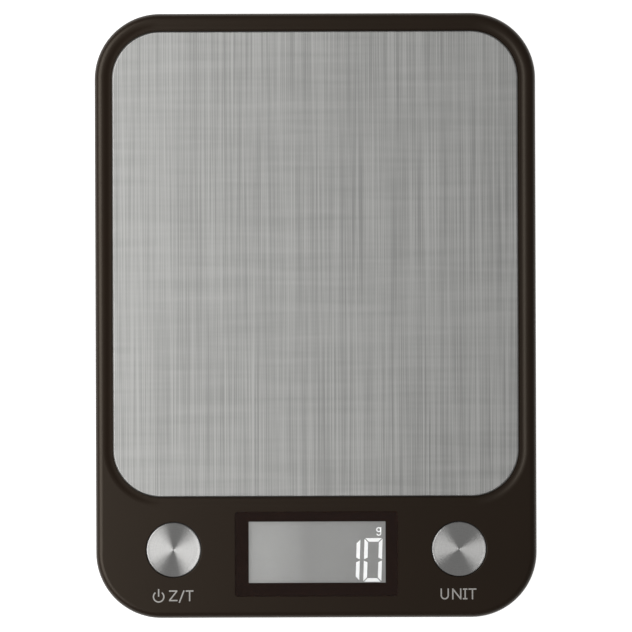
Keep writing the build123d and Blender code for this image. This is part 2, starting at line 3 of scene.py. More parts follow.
import bmesh
import bpy
from mathutils import Matrix, Vector


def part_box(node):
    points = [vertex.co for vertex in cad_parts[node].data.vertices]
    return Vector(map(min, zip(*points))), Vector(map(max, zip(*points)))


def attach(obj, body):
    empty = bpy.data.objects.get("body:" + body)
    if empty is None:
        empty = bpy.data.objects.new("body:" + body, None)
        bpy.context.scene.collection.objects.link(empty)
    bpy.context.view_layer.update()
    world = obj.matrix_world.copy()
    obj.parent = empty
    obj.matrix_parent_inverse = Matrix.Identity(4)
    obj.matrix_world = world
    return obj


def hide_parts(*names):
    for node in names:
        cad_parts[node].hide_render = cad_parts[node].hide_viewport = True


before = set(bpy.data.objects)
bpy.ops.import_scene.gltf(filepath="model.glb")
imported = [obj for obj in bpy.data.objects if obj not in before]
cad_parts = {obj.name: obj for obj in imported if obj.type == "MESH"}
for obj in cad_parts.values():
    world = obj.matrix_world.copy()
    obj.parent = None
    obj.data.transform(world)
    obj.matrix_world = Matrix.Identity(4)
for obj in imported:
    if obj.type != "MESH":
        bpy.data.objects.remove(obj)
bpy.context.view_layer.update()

mm = 0.001


# ---- Bottom cover ----
# A shallow tray of warm black ABS, moulded in one piece with the battery pocket, the sensor seats
# and the screw wells. Its outside is spark-eroded, so it is satin and faintly grained.
def new_finish(name):
    """A finish to build on: its material, node tree, main shader and object coordinates."""
    material = bpy.data.materials.new(name)
    material.use_nodes = True
    tree = material.node_tree
    place = tree.nodes.new("ShaderNodeTexCoord").outputs["Object"]
    return material, tree, tree.nodes["Principled BSDF"], place


def grain(tree, place, per_metre, stretch=(1, 1, 1), detail=2.0):
    """Noise with so many grains to the metre, drawn out or squeezed along each axis."""
    mapping = tree.nodes.new("ShaderNodeMapping")
    mapping.inputs["Scale"].default_value = stretch
    tree.links.new(place, mapping.inputs["Vector"])
    noise = tree.nodes.new("ShaderNodeTexNoise")
    noise.inputs["Scale"].default_value = per_metre
    noise.inputs["Detail"].default_value = detail
    tree.links.new(mapping.outputs["Vector"], noise.inputs["Vector"])
    return noise.outputs["Fac"]


def between(tree, amount, low, high, socket=None, start=0.3, end=0.7):
    """Spreads a pattern's amount over a range of values."""
    spread = tree.nodes.new("ShaderNodeMapRange")
    for label, value in (("From Min", start), ("From Max", end), ("To Min", low), ("To Max", high)):
        spread.inputs[label].default_value = value
    tree.links.new(amount, spread.inputs["Value"])
    if socket is not None:
        tree.links.new(spread.outputs["Result"], socket)
    return spread.outputs["Result"]


def tinted(tree, amount, dark, light, socket, start=0.3, end=0.7):
    """Runs from one colour to another with a pattern's amount."""
    ramp = tree.nodes.new("ShaderNodeValToRGB")
    ramp.color_ramp.elements[0].position = start
    ramp.color_ramp.elements[0].color = (*dark, 1)
    ramp.color_ramp.elements[1].position = end
    ramp.color_ramp.elements[1].color = (*light, 1)
    tree.links.new(amount, ramp.inputs["Fac"])
    tree.links.new(ramp.outputs["Color"], socket)


def raised(tree, shader, height, depth, strength=1.0):
    """Lets a pattern's height stand out of the surface by so many metres."""
    bump = tree.nodes.new("ShaderNodeBump")
    bump.inputs["Distance"].default_value = depth
    bump.inputs["Strength"].default_value = strength
    tree.links.new(height, bump.inputs["Height"])
    tree.links.new(bump.outputs["Normal"], shader.inputs["Normal"])


def moulded_abs(name, dark, light, gloss_low, gloss_high, grains_per_metre=2600, depth=0.006 * mm):
    """Moulded plastic with a spark-eroded skin and faint cloudiness from the pour."""
    material, tree, shader, place = new_finish(name)
    clouds = grain(tree, place, 55, detail=3.0)
    tinted(tree, clouds, dark, light, shader.inputs["Base Color"])
    skin = grain(tree, place, grains_per_metre, detail=1.0)
    between(tree, skin, gloss_low, gloss_high, shader.inputs["Roughness"])
    raised(tree, shader, skin, depth)
    return material


def fitted(name, form, body, slot, finishes, *nodes, sharp=32):
    """Puts a finished form in the model: its finishes, its body and the CAD nodes it stands for."""
    mesh = bpy.data.meshes.new(name)
    form.to_mesh(mesh)
    form.free()
    for finish in finishes:
        mesh.materials.append(finish)
    mesh.shade_smooth()
    mesh.set_sharp_from_angle(angle=math.radians(sharp))
    made = bpy.data.objects.new(name, mesh)
    bpy.context.scene.collection.objects.link(made)
    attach(made, body)
    if nodes:
        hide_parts(*nodes)
    return made


def even_shading(made):
    """Shades large flat faces as flat, up to the rounded edges beside them."""
    weights = made.modifiers.new("even shading", "WEIGHTED_NORMAL")
    weights.keep_sharp = True
    weights.weight = 80
    return made


def joined_up(node):
    """A part's own moulding with its loose triangles joined into one skin of large flat faces."""
    form = bmesh.new()
    form.from_mesh(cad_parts[node].data)
    bmesh.ops.remove_doubles(form, verts=form.verts, dist=0.002 * mm)
    bmesh.ops.dissolve_limit(form, angle_limit=math.radians(0.3), verts=form.verts, edges=form.edges)
    bmesh.ops.recalc_face_normals(form, faces=form.faces)
    return form


casing_abs = moulded_abs("casing_abs", (0.0106, 0.0038, 0.0008), (0.0122, 0.0046, 0.0012), 0.36, 0.42)
warm_shine = (1, 0.89, 0.74, 1)
casing_abs.node_tree.nodes["Principled BSDF"].inputs["Specular Tint"].default_value = warm_shine
even_shading(fitted("bottom_tray", joined_up("bottom_cover"), "casing", "black_abs", [casing_abs],
                    "bottom_cover"))


# ---- Feet ----
# Four moulded feet, each a cup with a flange that keeps it in the cover and a post that bears on
# its load sensor. A ribbed disc of soft black rubber is glued into the bottom of each.
def turned(profile, x=0.0, y=0.0, z=0.0, steps=96):
    """A round form: a profile of (radius, height) points, spun about an upright axis."""
    form = bmesh.new()
    points = [form.verts.new((radius, 0, height)) for radius, height in profile]
    lines = [form.edges.new(pair) for pair in zip(points, points[1:])]
    bmesh.ops.spin(form, geom=points + lines, cent=(0, 0, 0), axis=(0, 0, 1),
                   angle=2 * math.pi, steps=steps, use_merge=True)
    bmesh.ops.remove_doubles(form, verts=form.verts, dist=1e-7)
    bmesh.ops.recalc_face_normals(form, faces=form.faces)
    bmesh.ops.translate(form, verts=form.verts, vec=(x, y, z))
    return form


def arc(centre_r, centre_z, radius, start, end, count=6):
    """Points on an arc of a profile, between two angles in degrees."""
    turns = [math.radians(start + (end - start) * i / count) for i in range(count + 1)]
    return [(centre_r + radius * math.cos(a), centre_z + radius * math.sin(a)) for a in turns]


def middle(node):
    """The point midway across a CAD node, seen from above."""
    low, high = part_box(node)
    return (low.x + high.x) / 2, (low.y + high.y) / 2


def foot_rubber():
    """Soft black rubber: matt, with dust-grey bloom and a fine pebbled skin."""
    material, tree, shader, place = new_finish("foot_rubber")
    bloom = grain(tree, place, 300, detail=4.0)
    tinted(tree, bloom, (0.018, 0.018, 0.019), (0.038, 0.037, 0.036), shader.inputs["Base Color"])
    between(tree, bloom, 0.68, 0.86, shader.inputs["Roughness"])
    raised(tree, shader, grain(tree, place, 1900, detail=1.0), 0.02 * mm)
    return material


rubber = foot_rubber()
pad_ring_pitch = 1.7 * mm
pad_groove = 0.25 * mm
pad_round = 0.4 * mm
cap_round = 0.5 * mm
cup_wall = 2.0 * mm
cup_floor = 2.9 * mm
flange_width = 1.3 * mm
flange_low, flange_high = 4.6 * mm, 5.4 * mm
post_radius = 3.0 * mm
corners = ("front_left", "front_right", "rear_left", "rear_right")
for corner in corners:
    cap_low, cap_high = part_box(f"foot_cap_{corner}")
    pad_low, pad_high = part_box(f"foot_pad_{corner}")
    x, y = middle(f"foot_cap_{corner}")
    pad_radius = (pad_high.x - pad_low.x) / 2
    flange = (cap_high.x - cap_low.x) / 2
    cup = flange - flange_width
    cap_profile = [
        (0, pad_high.z), (pad_radius, pad_high.z), (pad_radius, cap_low.z),
        *arc(cup - cap_round, cap_low.z + cap_round, cap_round, -90, 0),
        (cup, flange_low), (flange, flange_low), (flange, flange_high),
        (cup - cup_wall, flange_high), (cup - cup_wall, cup_floor), (post_radius, cup_floor),
        (post_radius, cap_high.z), (0, cap_high.z),
    ]
    fitted(f"foot_{corner}", turned(cap_profile, x, y), f"foot_{corner}", "black_abs",
           [casing_abs], f"foot_cap_{corner}")
    tread = [(0, pad_high.z), (pad_radius, pad_high.z),
             *arc(pad_radius - pad_round, pad_round, pad_round, 0, -90)]
    radius = pad_radius - pad_ring_pitch
    while radius > pad_ring_pitch:
        tread += [(radius, 0), (radius - pad_groove, pad_groove),
                  (radius - 2 * pad_groove, pad_groove), (radius - 3 * pad_groove, 0)]
        radius -= pad_ring_pitch
    tread.append((0, 0))
    fitted(f"foot_tread_{corner}", turned(tread, x, y), f"foot_{corner}", "foot_rubber",
           [rubber], f"foot_pad_{corner}")


# ---- Load sensors ----
# Nickel-plated spring steel plates, stamped with a tongue that each foot bends. An amber foil gauge
# is glued across the root of each tongue, and its lead is PVC-covered.
def dressed(finish, *nodes):
    """Gives a CAD part that keeps its own shape its real finish."""
    for node in nodes:
        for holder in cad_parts[node].material_slots:
            holder.material = finish


def plated_steel(name, dark, light, gloss_low, gloss_high, stretch=(1, 1, 1)):
    """Plated steel: bright metal with rolling marks or a faint mottle."""
    material, tree, shader, place = new_finish(name)
    shader.inputs["Metallic"].default_value = 1.0
    mottle = grain(tree, place, 900, stretch, detail=4.0)
    tinted(tree, mottle, dark, light, shader.inputs["Base Color"])
    between(tree, mottle, gloss_low, gloss_high, shader.inputs["Roughness"])
    raised(tree, shader, mottle, 0.004 * mm)
    return material


def covered_wire(name, dark, light):
    """Soft PVC insulation, slightly glossy, with draw marks from the extruder."""
    material, tree, shader, place = new_finish(name)
    draw = grain(tree, place, 1500, (1, 0.1, 1))
    tinted(tree, draw, dark, light, shader.inputs["Base Color"])
    between(tree, draw, 0.32, 0.46, shader.inputs["Roughness"])
    return material


def gauge_film():
    """Amber polyimide film over a folded foil grid."""
    material, tree, shader, place = new_finish("gauge_film")
    grid = tree.nodes.new("ShaderNodeTexWave")
    grid.bands_direction = "Y"
    grid.inputs["Scale"].default_value = 800
    tree.links.new(place, grid.inputs["Vector"])
    tinted(tree, grid.outputs["Fac"], (0.62, 0.28, 0.05), (0.35, 0.33, 0.3), shader.inputs["Base Color"])
    between(tree, grid.outputs["Fac"], 0.25, 0.4, shader.inputs["Roughness"])
    return material


sensor_steel = plated_steel("sensor_steel", (0.44, 0.44, 0.43), (0.56, 0.56, 0.55), 0.26, 0.4, (0.15, 1, 1))
zinc = plated_steel("zinc", (0.4, 0.41, 0.42), (0.6, 0.6, 0.58), 0.25, 0.42)
nickel = plated_steel("nickel", (0.62, 0.6, 0.55), (0.74, 0.72, 0.67), 0.16, 0.3)
dressed(sensor_steel, *[f"load_sensor_{corner}" for corner in corners])
dressed(covered_wire("white_wire", (0.62, 0.61, 0.58), (0.74, 0.73, 0.7)),
        *[f"sensor_lead_{corner}" for corner in corners])
dressed(gauge_film(), "strain_gauges")
dressed(zinc, "sensor_screws", "board_screws")


# ---- Battery contacts ----
# Nickel-plated strip, blanked and pressed: a bridge at the left end, two tabs at the right. A
# tapered coil of spring wire presses on the flat end of each cell.
def laid_down(form, node, way):
    """Lays an upright form along X in a CAD node's place, with its top to the right or the left."""
    low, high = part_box(node)
    start = low.x if way > 0 else high.x
    turn = Matrix.Rotation(way * math.pi / 2, 3, "Y")
    bmesh.ops.rotate(form, verts=form.verts, cent=(0, 0, 0), matrix=turn)
    bmesh.ops.translate(form, verts=form.verts, vec=(start, (low.y + high.y) / 2, (low.z + high.z) / 2))
    return form


def coiled_contact(node, way):
    """A tapered coil of round wire: a ring spun up its own axis, then laid down along X."""
    low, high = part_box(node)
    wire = 0.35 * mm
    turns = 4
    steps = turns * 28
    large = (high.z - low.z) / 2 - wire
    small = 0.62 * large
    rise = high.x - low.x - 2 * wire
    form = bmesh.new()
    ring = bmesh.ops.create_circle(form, segments=10, radius=wire)["verts"]
    bmesh.ops.rotate(form, verts=ring, cent=(0, 0, 0), matrix=Matrix.Rotation(math.pi / 2, 3, "X"))
    bmesh.ops.translate(form, verts=ring, vec=(large, 0, wire))
    rim = list({edge for vert in ring for edge in vert.link_edges})
    bmesh.ops.spin(form, geom=ring + rim, cent=(0, 0, 0), axis=(0, 0, 1), dvec=(0, 0, rise / steps),
                   angle=2 * math.pi * turns, steps=steps, use_merge=False)
    bmesh.ops.holes_fill(form, edges=form.edges)
    for vert in form.verts:
        share = min(max((vert.co.z - wire) / rise, 0), 1)
        out = math.hypot(vert.co.x, vert.co.y)
        vert.co.xy *= (out - (large - small) * share) / out
    bmesh.ops.recalc_face_normals(form, faces=form.faces)
    return laid_down(form, node, way)


dressed(nickel, "contact_bridge", "contact_positive", "contact_negative")
for row, way in (("front", 1), ("rear", -1)):
    node = f"contact_spring_{row}"
    fitted(f"contact_coil_{row}", coiled_contact(node, way), "casing", "contact_plating", [nickel], node,
           sharp=60)
dressed(covered_wire("red_wire", (0.42, 0.015, 0.012), (0.55, 0.03, 0.02)), "battery_lead_positive")
dressed(covered_wire("black_wire", (0.012, 0.012, 0.012), (0.03, 0.03, 0.03)), "battery_lead_negative")


# ---- Battery cells ----
# Two AAA cells: a steel can, crimped over its seal at the raised end, in a plain printed film
# sleeve that is shrunk over both shoulders.
def cell_sleeve(name, start, way):
    """Film sleeve: slate over most of the cell, a pale band near the raised end, bare metal ends."""
    material, tree, shader, place = new_finish(name)
    split = tree.nodes.new("ShaderNodeSeparateXYZ")
    tree.links.new(place, split.inputs["Vector"])
    along = between(tree, split.outputs["X"], 0, 1, start=start, end=start + way * can_length)
    ramp = tree.nodes.new("ShaderNodeValToRGB")
    ramp.color_ramp.interpolation = "CONSTANT"
    bands = ((0.0, (0.62, 0.61, 0.59)), (0.012, (0.075, 0.105, 0.13)), (0.72, (0.55, 0.57, 0.56)),
             (0.76, (0.16, 0.3, 0.22)), (0.985, (0.62, 0.61, 0.59)))
    stops = ramp.color_ramp.elements
    while len(stops) < len(bands):
        stops.new(1)
    for stop, (position, colour) in zip(stops, bands):
        stop.position = position
        stop.color = (*colour, 1)
    tree.links.new(along, ramp.inputs["Fac"])
    tree.links.new(ramp.outputs["Color"], shader.inputs["Base Color"])
    between(tree, grain(tree, place, 700), 0.2, 0.3, shader.inputs["Roughness"])
    shader.inputs["Metallic"].default_value = 0.35
    shader.inputs["Coat Weight"].default_value = 0.4
    return material


cell_radius = 5.25 * mm
can_length = 43.5 * mm
base_round = 0.5 * mm
base_dish = 0.12 * mm
shoulder_round = 0.9 * mm
nub_radius = 1.9 * mm
nub_round = 0.3 * mm
for row, way in (("front", 1), ("rear", -1)):
    node = f"battery_cell_{row}"
    low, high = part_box(node)
    length = high.x - low.x
    profile = [
        (0, base_dish), (3.6 * mm, base_dish), (3.9 * mm, 0),
        *arc(cell_radius - base_round, base_round, base_round, -90, 0),
        *arc(cell_radius - shoulder_round, can_length - shoulder_round, shoulder_round, 0, 80),
        (3.7 * mm, can_length - 0.25 * mm), (nub_radius + 0.5 * mm, can_length - 0.2 * mm),
        (nub_radius, can_length), *arc(nub_radius - nub_round, length - nub_round, nub_round, 0, 90),
        (0, length),
    ]
    sleeve = cell_sleeve(f"cell_sleeve_{row}", low.x if way > 0 else high.x, way)
    fitted(f"aaa_cell_{row}", laid_down(turned(profile, steps=64), node, way), "casing", "cell_wrap",
           [sleeve], node)


# ---- Battery door ----
# A flat moulding of the same ABS as the casing, with two hooked tabs at the back, a sprung latch at
# the front and a few grip grooves across it.
even_shading(fitted("pocket_door", joined_up("battery_door"), "door", "black_abs", [casing_abs],
                    "battery_door"))


# ---- Main board ----
# Green glass-epoxy board with tinned pads, black resin over the controller, and two tact switches
# soldered on its top face under the keys.
def solder_mask():
    """Green lacquer over copper tracks, which show as lighter, slightly raised lines."""
    material, tree, shader, place = new_finish("solder_mask")
    tracks = tree.nodes.new("ShaderNodeTexBrick")
    tracks.inputs["Scale"].default_value = 1.0
    tracks.inputs["Mortar Size"].default_value = 0.28 * mm
    tracks.inputs["Brick Width"].default_value = 7.5 * mm
    tracks.inputs["Row Height"].default_value = 1.9 * mm
    tree.links.new(place, tracks.inputs["Vector"])
    lacquer, over_copper = (0.006, 0.06, 0.022), (0.02, 0.15, 0.05)
    tinted(tree, tracks.outputs["Fac"], lacquer, over_copper, shader.inputs["Base Color"])
    raised(tree, shader, tracks.outputs["Fac"], 0.03 * mm)
    between(tree, grain(tree, place, 400), 0.24, 0.34, shader.inputs["Roughness"])
    return material


black_resin = moulded_abs("black_resin", (0.008, 0.008, 0.008), (0.015, 0.015, 0.015), 0.22, 0.34, 900)
white_abs = moulded_abs("white_abs", (0.62, 0.61, 0.58), (0.7, 0.69, 0.66), 0.4, 0.5)
dressed(solder_mask(), "main_board")
dressed(black_resin, "controller_chip", "board_components")
dressed(black_resin, "switch_housing_zero", "switch_housing_unit", "switch_stem_zero", "switch_stem_unit")


# ---- Display ----
# A grey backlit glass with white segments, on a white light guide in a moulded holder. A striped
# rubber strip joins the glass's contact ledge to the board.
def striped_rubber():
    """Conductive silicone: thin black layers between pink insulating ones."""
    material, tree, shader, place = new_finish("striped_rubber")
    layers = tree.nodes.new("ShaderNodeTexWave")
    layers.bands_direction = "X"
    layers.inputs["Scale"].default_value = 1000
    tree.links.new(place, layers.inputs["Vector"])
    tinted(tree, layers.outputs["Fac"], (0.03, 0.02, 0.02), (0.6, 0.2, 0.22), shader.inputs["Base Color"])
    between(tree, layers.outputs["Fac"], 0.5, 0.65, shader.inputs["Roughness"])
    return material


def backlit_glass_painted_falloff():
    """The display's face: satin grey film that glows a little from its backlight, plus painted light:
    brighter at the left and fading to the right, as under the left light, with a painted darker band.
    """
    material, tree, shader, place = new_finish("backlit_glass_painted_falloff")
    haze = grain(tree, place, 45, detail=1.0)
    tinted(tree, haze, (0.245, 0.245, 0.239), (0.262, 0.262, 0.256), shader.inputs["Base Color"])
    between(tree, grain(tree, place, 1200), 0.34, 0.42, shader.inputs["Roughness"])
    shader.inputs["Emission Color"].default_value = (1, 1, 0.975, 1)
    split = tree.nodes.new("ShaderNodeSeparateXYZ")
    tree.links.new(place, split.inputs["Vector"])
    across = between(tree, split.outputs["X"], 0, 1, start=glass_left, end=glass_right)
    # Painted light: the glow is strongest at the left and falls off to the right like the light from the
    # left softbox, and dips into a painted darker band.
    backlight_and_painted_falloff = tree.nodes.new("ShaderNodeFloatCurve")
    tree.links.new(across, backlight_and_painted_falloff.inputs["Value"])
    line = backlight_and_painted_falloff.mapping.curves[0]
    line.points[0].location = (0, 0.117)
    line.points[-1].location = (1, 0.027)
    for spot in ((0.36, 0.075), (0.44, 0.039), (0.54, 0.042)):
        line.points.new(*spot)
    tree.links.new(backlight_and_painted_falloff.outputs["Value"], shader.inputs["Emission Strength"])
    return material


def lit_segment():
    """Clear segments: white light from the guide behind them."""
    material, tree, shader, place = new_finish("lit_segment")
    tinted(tree, grain(tree, place, 500), (0.84, 0.85, 0.85), (0.9, 0.9, 0.9), shader.inputs["Base Color"])
    shader.inputs["Emission Color"].default_value = (1, 1, 1, 1)
    shader.inputs["Emission Strength"].default_value = segment_glow
    return material


def flat_bar(form, start, end, width):
    """A flat bar between two points."""
    run = Vector(end) - Vector(start)
    bar = bmesh.ops.create_grid(form, x_segments=1, y_segments=1, size=0.5)["verts"]
    bmesh.ops.scale(form, verts=bar, vec=(run.length, width, 1))
    turn = Matrix.Rotation(math.atan2(run.y, run.x), 3, "Z")
    bmesh.ops.rotate(form, verts=bar, cent=(0, 0, 0), matrix=turn)
    centre = (Vector(start) + Vector(end)) / 2
    bmesh.ops.translate(form, verts=bar, vec=(centre.x, centre.y, 0))


def flat_arc(form, centre, radius, width, start, end, steps=28):
    """A flat curved stroke round a centre, between two angles in degrees."""
    turn = math.radians(start)
    ends = [form.verts.new(((radius + side * width / 2) * math.cos(turn),
                            (radius + side * width / 2) * math.sin(turn), 0)) for side in (-1, 1)]
    edge = form.edges.new(ends)
    before = set(form.verts) - set(ends)
    bmesh.ops.spin(form, geom=ends + [edge], cent=(0, 0, 0), axis=(0, 0, 1),
                   angle=math.radians(end - start), steps=steps, use_merge=False)
    stroke = [vert for vert in form.verts if vert not in before]
    bmesh.ops.translate(form, verts=stroke, vec=(centre[0], centre[1], 0))


def thickened(form, x, y, z, sheet):
    """Turns flat strokes into thin raised ones, and sets them in place on a surface."""
    bmesh.ops.remove_doubles(form, verts=form.verts, dist=1e-8)
    bmesh.ops.recalc_face_normals(form, faces=form.faces)
    for face in form.faces:
        if face.normal.z < 0:
            face.normal_flip()
    top = bmesh.ops.extrude_face_region(form, geom=form.faces[:])["geom"]
    raised_verts = [item for item in top if isinstance(item, bmesh.types.BMVert)]
    bmesh.ops.translate(form, verts=raised_verts, vec=(0, 0, sheet))
    bmesh.ops.recalc_face_normals(form, faces=form.faces)
    bmesh.ops.translate(form, verts=form.verts, vec=(x, y, z))
    return form


def segment(form, start, end, inward, start_cut, end_cut):
    """One segment along its outer line, with its inner edge cut back at each end."""
    bar = bmesh.ops.create_grid(form, x_segments=1, y_segments=1, size=0.5)["verts"]
    start, run, inward = Vector(start), Vector(end) - Vector(start), Vector(inward)
    for vert, (along, deep, back) in zip(bar, ((0, 0, 0), (1, 0, 0), (0, 1, start_cut), (1, 1, -end_cut))):
        spot = start + run * along + inward * deep + run.normalized() * back
        vert.co = (spot.x, spot.y, 0)


def digit(form, left, foot, width, height, stroke, lit):
    """One seven-segment figure with mitred corners. Lit names its segments, a to f round from the top."""
    gap = 0.28 * mm
    tip = 0.45 * stroke
    right, top, centre = left + width, foot + height, foot + height / 2
    spans = {
        "a": ((left + gap, top), (right - gap, top), (0, -stroke), stroke, stroke),
        "b": ((right, top - gap), (right, centre + gap), (-stroke, 0), stroke, tip),
        "c": ((right, foot + gap), (right, centre - gap), (-stroke, 0), stroke, tip),
        "d": ((left + gap, foot), (right - gap, foot), (0, stroke), stroke, stroke),
        "e": ((left, foot + gap), (left, centre - gap), (stroke, 0), stroke, tip),
        "f": ((left, top - gap), (left, centre + gap), (stroke, 0), stroke, tip),
    }
    before = set(form.verts)
    for name in lit:
        segment(form, *spans[name])
    lean = math.tan(math.radians(1.8))
    for vert in form.verts:
        if vert not in before:
            vert.co.x += (vert.co.y - centre) * lean


segment_glow = 0.22
dressed(striped_rubber(), "lcd_connector")
dressed(white_abs, "lcd_backlight", "lcd_holder")
lcd_low, lcd_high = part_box("lcd_panel")
lcd_x, lcd_y = middle("lcd_panel")
glass_left, glass_right = lcd_low.x, lcd_high.x
fitted("display_glass", joined_up("lcd_panel"), "casing", "lcd", [backlit_glass_painted_falloff()], "lcd_panel")
figures = bmesh.new()
figure_foot = -11.2 * mm
figure_width = 7.15 * mm
figure_stroke = 1.42 * mm
digit(figures, 18.85 * mm, figure_foot, figure_width, 17.3 * mm, figure_stroke, "abcdef")
digit(figures, 10.05 * mm, figure_foot + 0.35 * mm, figure_width, 16.6 * mm, figure_stroke, "bc")
g_x, g_y = 24.75 * mm, 9.45 * mm
g_stem = g_x + 0.82 * mm
g_top, g_tail = g_y + 1.0 * mm, g_y - 1.4 * mm
g_stroke = 0.42 * mm
flat_arc(figures, (g_x, g_y), 0.78 * mm, g_stroke, 0, 360)
flat_bar(figures, (g_stem, g_top, 0), (g_stem, g_tail, 0), g_stroke)
flat_arc(figures, (g_x + 0.02 * mm, g_tail), 0.8 * mm, g_stroke, 195, 360)
thickened(figures, lcd_x, lcd_y, lcd_high.z, 0.02 * mm)
fitted("display_figures", figures, "casing", "lcd", [lit_segment()])


# ---- Top cover ----
# One moulding makes the rim, the console and the deck under the plate. The rim has a rounded crown
# that eases down to a ledge beside the plate; the deck has a groove for the plate's edge.
def rounded_face(form, width, length, radius, x, y, z, steps=28):
    """One flat face with arc corners, seen from above."""
    before = set(form.verts)
    corners_made = bmesh.ops.create_grid(form, x_segments=1, y_segments=1, size=0.5)["verts"]
    bmesh.ops.scale(form, verts=corners_made, vec=(width, length, 1))
    bmesh.ops.bevel(form, geom=corners_made, offset=radius, offset_type="OFFSET", segments=steps,
                    profile=0.5, affect="VERTICES", material=-1)
    outline = [vert for vert in form.verts if vert not in before]
    bmesh.ops.translate(form, verts=outline, vec=(x, y, z))
    return outline[0].link_faces[0]


def step(form, face, inward, rise):
    """Draws a face in and moves it up, leaving a band of new faces behind it."""
    if inward:
        bmesh.ops.inset_region(form, faces=[face], thickness=inward, use_boundary=True,
                               use_even_offset=True)
        bmesh.ops.translate(form, verts=face.verts, vec=(0, 0, rise))
        return face
    on_its_own = all(edge.is_boundary for edge in face.edges)
    made = bmesh.ops.extrude_face_region(form, geom=[face])["geom"]
    drawn = [item for item in made if isinstance(item, bmesh.types.BMFace)][0]
    if not on_its_own:
        bmesh.ops.delete(form, geom=[face], context="FACES_ONLY")
    bmesh.ops.translate(form, verts=drawn.verts, vec=(0, 0, rise))
    return drawn


def rounding(radius, start, end, count):
    """Steps (inward, rise) that follow an arc, between two angles from upright in degrees."""
    turns = [math.radians(start + (end - start) * i / count) for i in range(count + 1)]
    return [(radius * (math.cos(a) - math.cos(b)), radius * (math.sin(b) - math.sin(a)))
            for a, b in zip(turns, turns[1:])]


def easing(run, drop, count):
    """Steps (inward, rise) down a smooth flank: one arc out of the crown, one into the ledge."""
    turn = 2 * math.atan(drop / run)
    radius = run / (2 * math.sin(turn))
    turns = [turn * i / count for i in range(count + 1)]
    over = [(radius * (math.sin(b) - math.sin(a)), radius * (math.cos(b) - math.cos(a)))
            for a, b in zip(turns, turns[1:])]
    return over + over[::-1]


def cut_out(form, cutters):
    """Cuts other forms out of a form, and gives the form that is left."""
    objects = []
    for part in [form, *cutters]:
        mesh = bpy.data.meshes.new("cutting")
        part.to_mesh(mesh)
        part.free()
        objects.append(bpy.data.objects.new("cutting", mesh))
        bpy.context.scene.collection.objects.link(objects[-1])
    for cutter in objects[1:]:
        cut = objects[0].modifiers.new("cut", "BOOLEAN")
        cut.operation = "DIFFERENCE"
        cut.solver = "EXACT"
        cut.object = cutter
    seen = objects[0].evaluated_get(bpy.context.evaluated_depsgraph_get())
    left = bmesh.new()
    left.from_mesh(seen.to_mesh())
    for item in objects:
        bpy.data.objects.remove(item)
    return left


cover_low, cover_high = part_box("top_cover")
plate_low, plate_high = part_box("platform_plate")
lens_low, lens_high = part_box("display_lens")
crown = cover_high.z
lens_corner = 1.2 * mm
corner_radius = 26 * mm
crown_round = 2.8 * mm
cover_wall = 2.2 * mm
deck_wall = 1.6 * mm
ledge_drop = 0.52 * mm
dish_out = 3.95 * mm        # plate's edge to the top of the dish's flank
dish_run = 3.3 * mm
plate_gap = 0.5 * mm
edge_break = 0.1 * mm
moat = 0.4 * mm
moat_width = 1.5 * mm
body_width = cover_high.x - cover_low.x
body_length = cover_high.y - cover_low.y
plate_width = plate_high.x - plate_low.x
plate_length = plate_high.y - plate_low.y
plate_y = (plate_high.y + plate_low.y) / 2
plate_corner = corner_radius - (body_width - plate_width) / 2
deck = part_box("platform_tape")[0].z

shell = bmesh.new()
under = rounded_face(shell, body_width, body_length, corner_radius, 0, 0, cover_low.z)
top = step(shell, under, 0, crown - crown_round - cover_low.z)
for inward, rise in rounding(crown_round, 0, 90, 9):
    top = step(shell, top, inward, rise)
bmesh.ops.delete(shell, geom=[top], context="FACES_ONLY")
bmesh.ops.reverse_faces(shell, faces=[under])
under = step(shell, under, cover_wall, 0)
under = step(shell, under, 0, deck - deck_wall - cover_low.z)
dish = rounded_face(shell, plate_width + 2 * dish_out, plate_length + 2 * dish_out,
                    plate_corner + dish_out, 0, plate_y, crown)
for inward, rise in easing(dish_run, ledge_drop, 6):
    dish = step(shell, dish, inward, rise)
dish = step(shell, dish, dish_out - dish_run - plate_gap - edge_break, 0)
for inward, rise in rounding(edge_break, 90, 0, 3):
    dish = step(shell, dish, -inward, rise)
dish = step(shell, dish, 0, deck - moat - crown + ledge_drop + edge_break)
dish = step(shell, dish, moat_width, 0)
dish = step(shell, dish, 0, moat)
bmesh.ops.bridge_loops(shell, edges=[edge for edge in shell.edges if edge.is_boundary])
bmesh.ops.recalc_face_normals(shell, faces=shell.faces)

key_flare = 0.3 * mm
key_gap = 0.35 * mm
lens_gap = 0.06 * mm
lens_bed = 0.15 * mm        # seat below the window
seat_corner = 1.3 * mm
tape_width = 2.2 * mm
cavity_top = 16.3 * mm
above = 1.0 * mm            # how far a cutter stands clear
cutters = []
for key in ("zero", "unit"):
    low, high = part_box(f"button_cap_{key}")
    x, y = middle(f"button_cap_{key}")
    hole = (high.x - low.x) / 2 + key_gap
    profile = [(0, deck - deck_wall - above), (hole, deck - deck_wall - above),
               *arc(hole + key_flare, crown - key_flare, key_flare, 180, 90),
               (hole + key_flare, crown + above), (0, crown + above)]
    cutters.append(turned(profile, x, y, steps=128))
lens_x, lens_y = middle("display_lens")
lens_size = lens_high - lens_low
seat = bmesh.new()
mouth = rounded_face(seat, lens_size.x + 2 * lens_gap, lens_size.y + 2 * lens_gap, seat_corner,
                     lens_x, lens_y, lens_low.z - lens_bed, steps=8)
step(seat, mouth, 0, crown + above - lens_low.z + lens_bed)
bmesh.ops.recalc_face_normals(seat, faces=seat.faces)
view_hole = bmesh.new()
mouth = rounded_face(view_hole, lens_size.x - 2 * tape_width, lens_size.y - 2 * tape_width, lens_corner,
                     lens_x, lens_y, deck - deck_wall - above, steps=8)
step(view_hole, mouth, 0, crown - deck + deck_wall + 2 * above)
bmesh.ops.recalc_face_normals(view_hole, faces=view_hole.faces)
